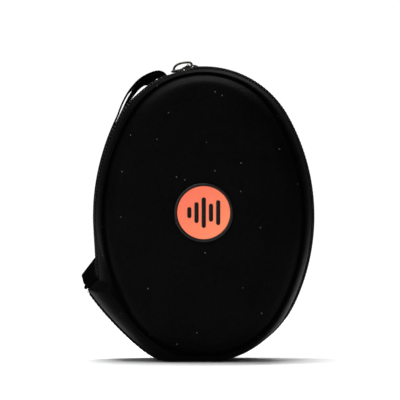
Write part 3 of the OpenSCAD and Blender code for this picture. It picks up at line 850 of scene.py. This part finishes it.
def lookup(table, t):
    if t <= table[0][0]:
        return table[0][1]
    for i in range(len(table) - 1):
        (a, p), (b, q) = table[i], table[i + 1]
        if t <= b:
            p0 = table[max(i - 1, 0)]
            q1 = table[min(i + 2, len(table) - 1)]
            m0 = (q - p0[1]) / (b - p0[0])
            m1 = (q1[1] - p) / (q1[0] - a) if q1[0] > a else 0
            u = (t - a) / (b - a)
            return ((2 * u ** 3 - 3 * u * u + 1) * p + (u ** 3 - 2 * u * u + u) * (b - a) * m0
                    + (3 * u * u - 2 * u ** 3) * q + (u ** 3 - u * u) * (b - a) * m1)
    return table[-1][1]


def on_rim(t, lift):
    a = math.radians(t)
    if t <= 180 - TOP_TURN:
        return (TOP_R + lift) * math.cos(a), WAIST + TOP_CENTRE + (TOP_R + lift) * math.sin(a)
    return (SIDE_R + lift) * math.cos(a) + SIDE_CENTRE, WAIST + (SIDE_R + lift) * math.sin(a)


def lay(tops, faces, t):
    """The middle line of a ply at direction t, and how far the webbing is turned about it."""
    face = max(lookup(faces, t), 1.13)
    return on_rim(t, lookup(tops, t) - face / 2), -math.asin((face - 1.12) / 9.9)


centre_line, tilt = [], []
END = 177.3
for k in range(90):
    p, turn = lay(OUTER_PLY, OUTER_FACE, 112.9 + (END - 112.9) * k / 89)
    centre_line.append(p)
    tilt.append(turn)
a0 = centre_line[-1]
b0 = lay(INNER_PLY, INNER_FACE, END)[0]
mid = ((a0[0] + b0[0]) / 2, (a0[1] + b0[1]) / 2)
for k in range(1, 6):
    a = math.pi * k / 6
    rx, rz = (a0[0] - mid[0]), (a0[1] - mid[1])
    centre_line.append((mid[0] + rx * math.cos(a), mid[1] + rz * math.cos(a) - 1.4 * math.sin(a)))
    tilt.append(0.0)
for k in range(90):
    p, turn = lay(INNER_PLY, INNER_FACE, END - (END - 113.2) * k / 89)
    centre_line.append(p)
    tilt.append(-turn)
rows, uv, run = [], [], 0.0
for i, (x, z) in enumerate(centre_line):
    p = centre_line[max(i - 1, 0)]
    q = centre_line[min(i + 1, len(centre_line) - 1)]
    tx, tz = q[0] - p[0], q[1] - p[1]
    m = math.hypot(tx, tz)
    tx, tz = tx / m, tz / m
    nx, nz = tz, -tx
    if i:
        run += math.hypot(x - centre_line[i - 1][0], z - centre_line[i - 1][1])
    c, s = math.cos(tilt[i]), math.sin(tilt[i])
    row = []
    for w, d in round_box(0, 0, 4.95, 0.56, 28, 7):
        y, o = w * c - d * s, w * s + d * c
        row.append((x + nx * o, 12.7 + y, z + nz * o))
        uv.append((run, w))
    rows.append(row)
uv += [(0, 0), (run, 0)]
verts, faces = skin(rows)
strap = make("strap_webbing_loop", verts, faces, WEB, "strap", uv)
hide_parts("wrist_strap")
runs = []
for i in range(12):
    w = -4.0 + 8.0 * i / 11
    for t in (118.6, 172.0):
        x, z = on_rim(t, lookup(OUTER_PLY, t) - 0.02)
        a = math.radians(t)
        runs.append(((x, 12.7 + w, z), (0, 1, 0), (math.cos(a), 0, math.sin(a))))
st = stitches("strap_bar_tacks", runs, DARK_THREAD, "strap", 0.8, 0.14)

# sewn anchor patch on the rear half
rows, uv = [], []
for k in range(25):
    t = 102.6 + 10.2 * k / 24
    a = math.radians(t)
    edge = min(k, 24 - k) / 2
    g = 1.0 if edge >= 1 else 0.6 + 0.4 * edge
    row = []
    for w, d in round_box(0, 0, 4.95 * (0.985 + 0.015 * g), 0.62 * g, 28, 6):
        r = TOP_R - 1.62 + d + 0.25 * smooth(108, 112.5, t)
        row.append((r * math.cos(a), 12.7 + w, WAIST + TOP_CENTRE + r * math.sin(a)))
        uv.append((t * 1.24, w))
    rows.append(row)
uv += [(0, 0), (0, 0)]
verts, faces = skin(rows)
anchor = make("strap_anchor_patch", verts, faces, WEB, "case", uv)
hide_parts("strap_anchor")
runs = []
for i in range(7):
    u = i / 6
    for t, w, dt, dw in ((103.6 + 7.6 * u, -4.1, 1, 0), (103.6 + 7.6 * u, 4.1, 1, 0), (103.6, -4.1 + 8.2 * u, 0, 1),
                         (111.2, -4.1 + 8.2 * u, 0, 1), (103.6 + 7.6 * u, -4.1 + 8.2 * u, 1, 1),
                         (103.6 + 7.6 * u, 4.1 - 8.2 * u, 1, -1)):
        a = math.radians(t)
        r = TOP_R - 0.98
        runs.append(((r * math.cos(a), 12.7 + w, WAIST + TOP_CENTRE + r * math.sin(a)),
                     (-math.sin(a) * dt, dw, math.cos(a) * dt), (math.cos(a), 0, math.sin(a))))
st = stitches("anchor_stitches", runs, DARK_THREAD, "case", 1.0, 0.13)

# ---------------------------------------------------------------- end tab


def tab_point(u, v):
    a = math.radians(232.5)
    return (-79.3 + u * math.cos(a) - v * math.sin(a), WAIST - 29.5 + u * math.sin(a) + v * math.cos(a))


def ply(name, corners, y0, bow, body="case"):
    """A cut piece of webbing: a grid inside the outline, with soft edges and a slight curl at its free end."""
    n = 28
    rows, uv = [], []
    for k in range(n + 1):
        v = corners["v0"] + (corners["v1"] - corners["v0"]) * k / n
        reach = corners["reach"](v)
        start = corners["start"](v)
        row, tex = [], []
        for i in range(n + 1):
            u = start + (reach - start) * i / n
            e = min(1.0, min(k, n - k) / 1.5 + 0.35, (n - i) / 1.5 + 0.35)
            x, z = tab_point(u, v)
            row.append((x, y0 + bow * smooth(8, 24, u) + 0.5 * e, z))
            tex.append((v * 1.0, u))
        for i in range(n, -1, -1):
            u = start + (reach - start) * i / n
            e = min(1.0, min(k, n - k) / 1.5 + 0.35, (n - i) / 1.5 + 0.35)
            x, z = tab_point(u, v)
            row.append((x, y0 + bow * smooth(8, 24, u) - 0.5 * e, z))
            tex.append((v * 1.0, u))
        rows.append(row)
        uv += tex
    uv += [(0, 0), (0, 0)]
    verts, faces = skin(rows)
    return make(name, verts, faces, TABWEB, body, uv)


def straight_side_u(v):
    """Where the tab leaves the straight side, so that it starts just inside the binding."""
    n = math.radians(STRAP_SIDE)
    lo, hi = -20.0, 30.0
    for _ in range(24):
        mid = (lo + hi) / 2
        x, z = tab_point(mid, v)
        d = x * math.cos(n) + (z - WAIST) * math.sin(n)
        lo, hi = (mid, hi) if d < STRAIGHT_DIST - 1.5 else (lo, mid)
    return hi


def start_front(v):
    return min(straight_side_u(v), 15.0)


front = {"v0": 0.0, "v1": 12.6, "start": start_front,
         "reach": lambda v: 17.2 + 1.2 * smooth(0, 1, v) + 3.1 * smooth(0.6, 5.8, v) - 5.5 * smooth(8.6, 12.6, v)}
back = {"v0": 0.8, "v1": 12.6, "start": start_front,
        "reach": lambda v: 16.6 + 4.4 * smooth(0.5, 6, v) + 3.1 * smooth(5.8, 7.6, v) - 8.5 * smooth(8.7, 12.2, v)}
t1 = ply("tab_ply_front", front, -0.68, -0.25)
t2 = ply("tab_ply_back", back, 0.68, 0.3)
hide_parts("end_tab")
# the tab's root, sewn in under the hinge cloth
rows, uv = [], []
n = math.radians(HINGE_DIR)
for k in range(17):
    s = -HINGE_UP - 2.6 + 8.4 * k / 16
    g = math.sqrt(max(1 - (abs(k - 8) / 8) ** 6, 0.05))
    row = []
    for w, d in round_box(3.6, 5.4, 3.35, 3.7 * g, 24, 5):
        row.append(((HINGE_DIST - d) * math.cos(n) - s * math.sin(n), w,
                    WAIST + (HINGE_DIST - d) * math.sin(n) + s * math.cos(n)))
        uv.append((s, w))
    rows.append(row)
uv += [(0, 0), (0, 0)]
verts, faces = skin(rows)
root = make("tab_root_fold", verts, faces, TABWEB, "case", uv)
runs = []
for i in range(5):
    v = 1.8 + 1.55 * i
    u = start_front(v) + 3.6
    x, z = tab_point(u, v)
    a = math.radians(232.5)
    runs.append(((x, -1.2, z), (-math.sin(a), 0, math.cos(a)), (0, -1, 0)))
st = stitches("tab_stitches", runs, DARK_THREAD, "case", 1.1, 0.13)

# ---------------------------------------------------------------- mesh pocket in the lid

POCKET_H, INSET, MOUTH = HALF_D - FOAM - LINING - 1.75, 27.0, 14.0


def pocket_r(t, d=0.0):
    i = INSET + d
    return oval(t, HALF_W - i, TOP_RISE - i, LOW_DROP - i, SIDE_R - i)


def sag(x, z):
    r = math.hypot(x, z - WAIST) / pocket_r(math.atan2(z - WAIST, x))
    return 0.9 * max(0.0, 1 - r * r)


cell = 2.9
verts, faces, index = [], [], {}
span = int(150 / cell)
for i in range(-span, span + 1):
    for j in range(-span, span + 1):
        x, z = (i + j) * cell / 2, WAIST + (i - j) * cell * 0.62
        r = math.hypot(x, z - WAIST)
        if r < pocket_r(math.atan2(z - WAIST, x)) and z < WAIST + MOUTH - 5:
            index[i, j] = len(verts)
            verts.append((x, -POCKET_H - 0.3 + sag(x, z), z))
for (i, j), a in index.items():
    quad = [(i, j), (i + 1, j), (i + 1, j + 1), (i, j + 1)]
    if all(q in index for q in quad):
        faces.append([index[q] for q in quad])
net = make("pocket_netting", verts, faces, NET, "lid", recalc=False)
w = net.modifiers.new("threads", "WIREFRAME")
w.thickness, w.use_even_offset, w.use_boundary = 0.42 * MM, False, True
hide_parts("accessory_pocket")

pts = []
for d in range(-188, 9, 3):
    t = math.radians(d)
    r = pocket_r(t, 0.8)
    x, z = r * math.cos(t), WAIST + r * math.sin(t)
    if z < WAIST + MOUTH - 1:
        pts.append((x, z, math.cos(t), math.sin(t)))
rows, uv = [], []
for k, (x, z, nx, nz) in enumerate(pts):
    row = []
    for o, h in round_box(0, 0, 1.7, 0.5, 14, 4):
        row.append((x + nx * o, -POCKET_H - 0.35 + h, z + nz * o))
        uv.append((k * 3.0, o))
    rows.append(row)
uv += [(0, 0), (0, 0)]
verts, faces = skin(rows)
hem = make("pocket_hem_tape", verts, faces, ELASTIC, "lid", uv)

rows, uv = [], []
half = pocket_r(math.radians(6)) - 1.2
for k in range(121):
    x = -half + 2 * half * k / 120
    gather = 0.16 * math.sin(x * 2.4) + 0.1 * math.sin(x * 5.3 + 1)
    row = []
    for o, h in round_box(0, 0, 3.0 + 0.3 * gather, 0.62, 20, 5):
        row.append((x, -POCKET_H - 0.3 + h + gather * 0.8 + 0.55 * (1 - (x / half) ** 2), WAIST + MOUTH - 3 + o))
        uv.append((x, o))
    rows.append(row)
uv += [(0, 0), (0, 0)]
verts, faces = skin(rows)
el = make("pocket_elastic_band", verts, faces, ELASTIC, "lid", uv)
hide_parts("pocket_elastic")

# ---------------------------------------------------------------- floor, light and camera

fm = Nodes("floor_paper", (0.93, 0.94, 0.94), rough=0.9, spec=0.1)
pos, _, _, _ = fm.xyz()
fm.color(fm.ramp(fm.noise(pos, 3, 2), [(0.3, (0.79, 0.80, 0.795)), (0.7, (0.81, 0.82, 0.815))]))
rings = []
for r in (0.02, 0.2, 0.4, 0.6, 0.8):
    rings.append([(r * 1000 * math.cos(2 * math.pi * k / 96), r * 1000 * math.sin(2 * math.pi * k / 96), 0.0)
                  for k in range(96)])
verts, faces = skin(rings, cap1=False)
floor = make("floor_sweep", verts, faces, fm.mat, flat=True, recalc=False)


def area(name, loc, target, size, power, color=(1, 1, 1)):
    data = bpy.data.lights.new(name, "AREA")
    data.shape, data.size, data.size_y = "RECTANGLE", size[0], size[1]
    data.energy, data.color = power, color
    ob = bpy.data.objects.new(name, data)
    bpy.context.scene.collection.objects.link(ob)
    ob.location = loc
    ob.rotation_mode = "QUATERNION"
    ob.rotation_quaternion = (Vector(target) - Vector(loc)).to_track_quat("-Z", "Y")
    return ob


area("key", (-0.15, 0.4, 2.2), (0, 0, 0.05), (2.4, 0.6), 92)
area("top", (-0.4, -1.1, 2.1), (0, 0, 0.1), (1.2, 0.7), 20)
area("front", (-0.75, -2.5, 0.62), (0, 0, 0.12), (1.3, 0.8), 20)
area("back", (0.7, 1.7, 1.5), (0, 0, 0.1), (1.0, 0.8), 4)
# The world is brighter for camera rays than as a light, so that the backdrop is plain white
world = bpy.data.worlds.new("studio")
world.use_nodes = True
wt = world.node_tree
bg = wt.nodes["Background"]
bg.inputs[0].default_value = (1, 1, 1, 1)
seen = wt.nodes.new("ShaderNodeLightPath")
level = wt.nodes.new("ShaderNodeMapRange")
level.inputs["To Min"].default_value, level.inputs["To Max"].default_value = 0.07, 1.05
wt.links.new(seen.outputs["Is Camera Ray"], level.inputs["Value"])
wt.links.new(level.outputs[0], bg.inputs[1])
bpy.context.scene.world = world
bpy.context.scene.view_settings.view_transform = "Standard"

cam_data = bpy.data.cameras.new("camera")
cam_data.sensor_width = 36
cam_data.lens = 269
cam_data.clip_end = 50
cam = bpy.data.objects.new("camera", cam_data)
bpy.context.scene.collection.objects.link(cam)
cam.location = (-0.0027 + MID_X * MM, -2.2 + MID_Y * MM, 0.1178)
cam.rotation_mode = "QUATERNION"
cam.rotation_quaternion = Vector((0, 1, 0)).to_track_quat("-Z", "Y")
bpy.context.scene.camera = cam
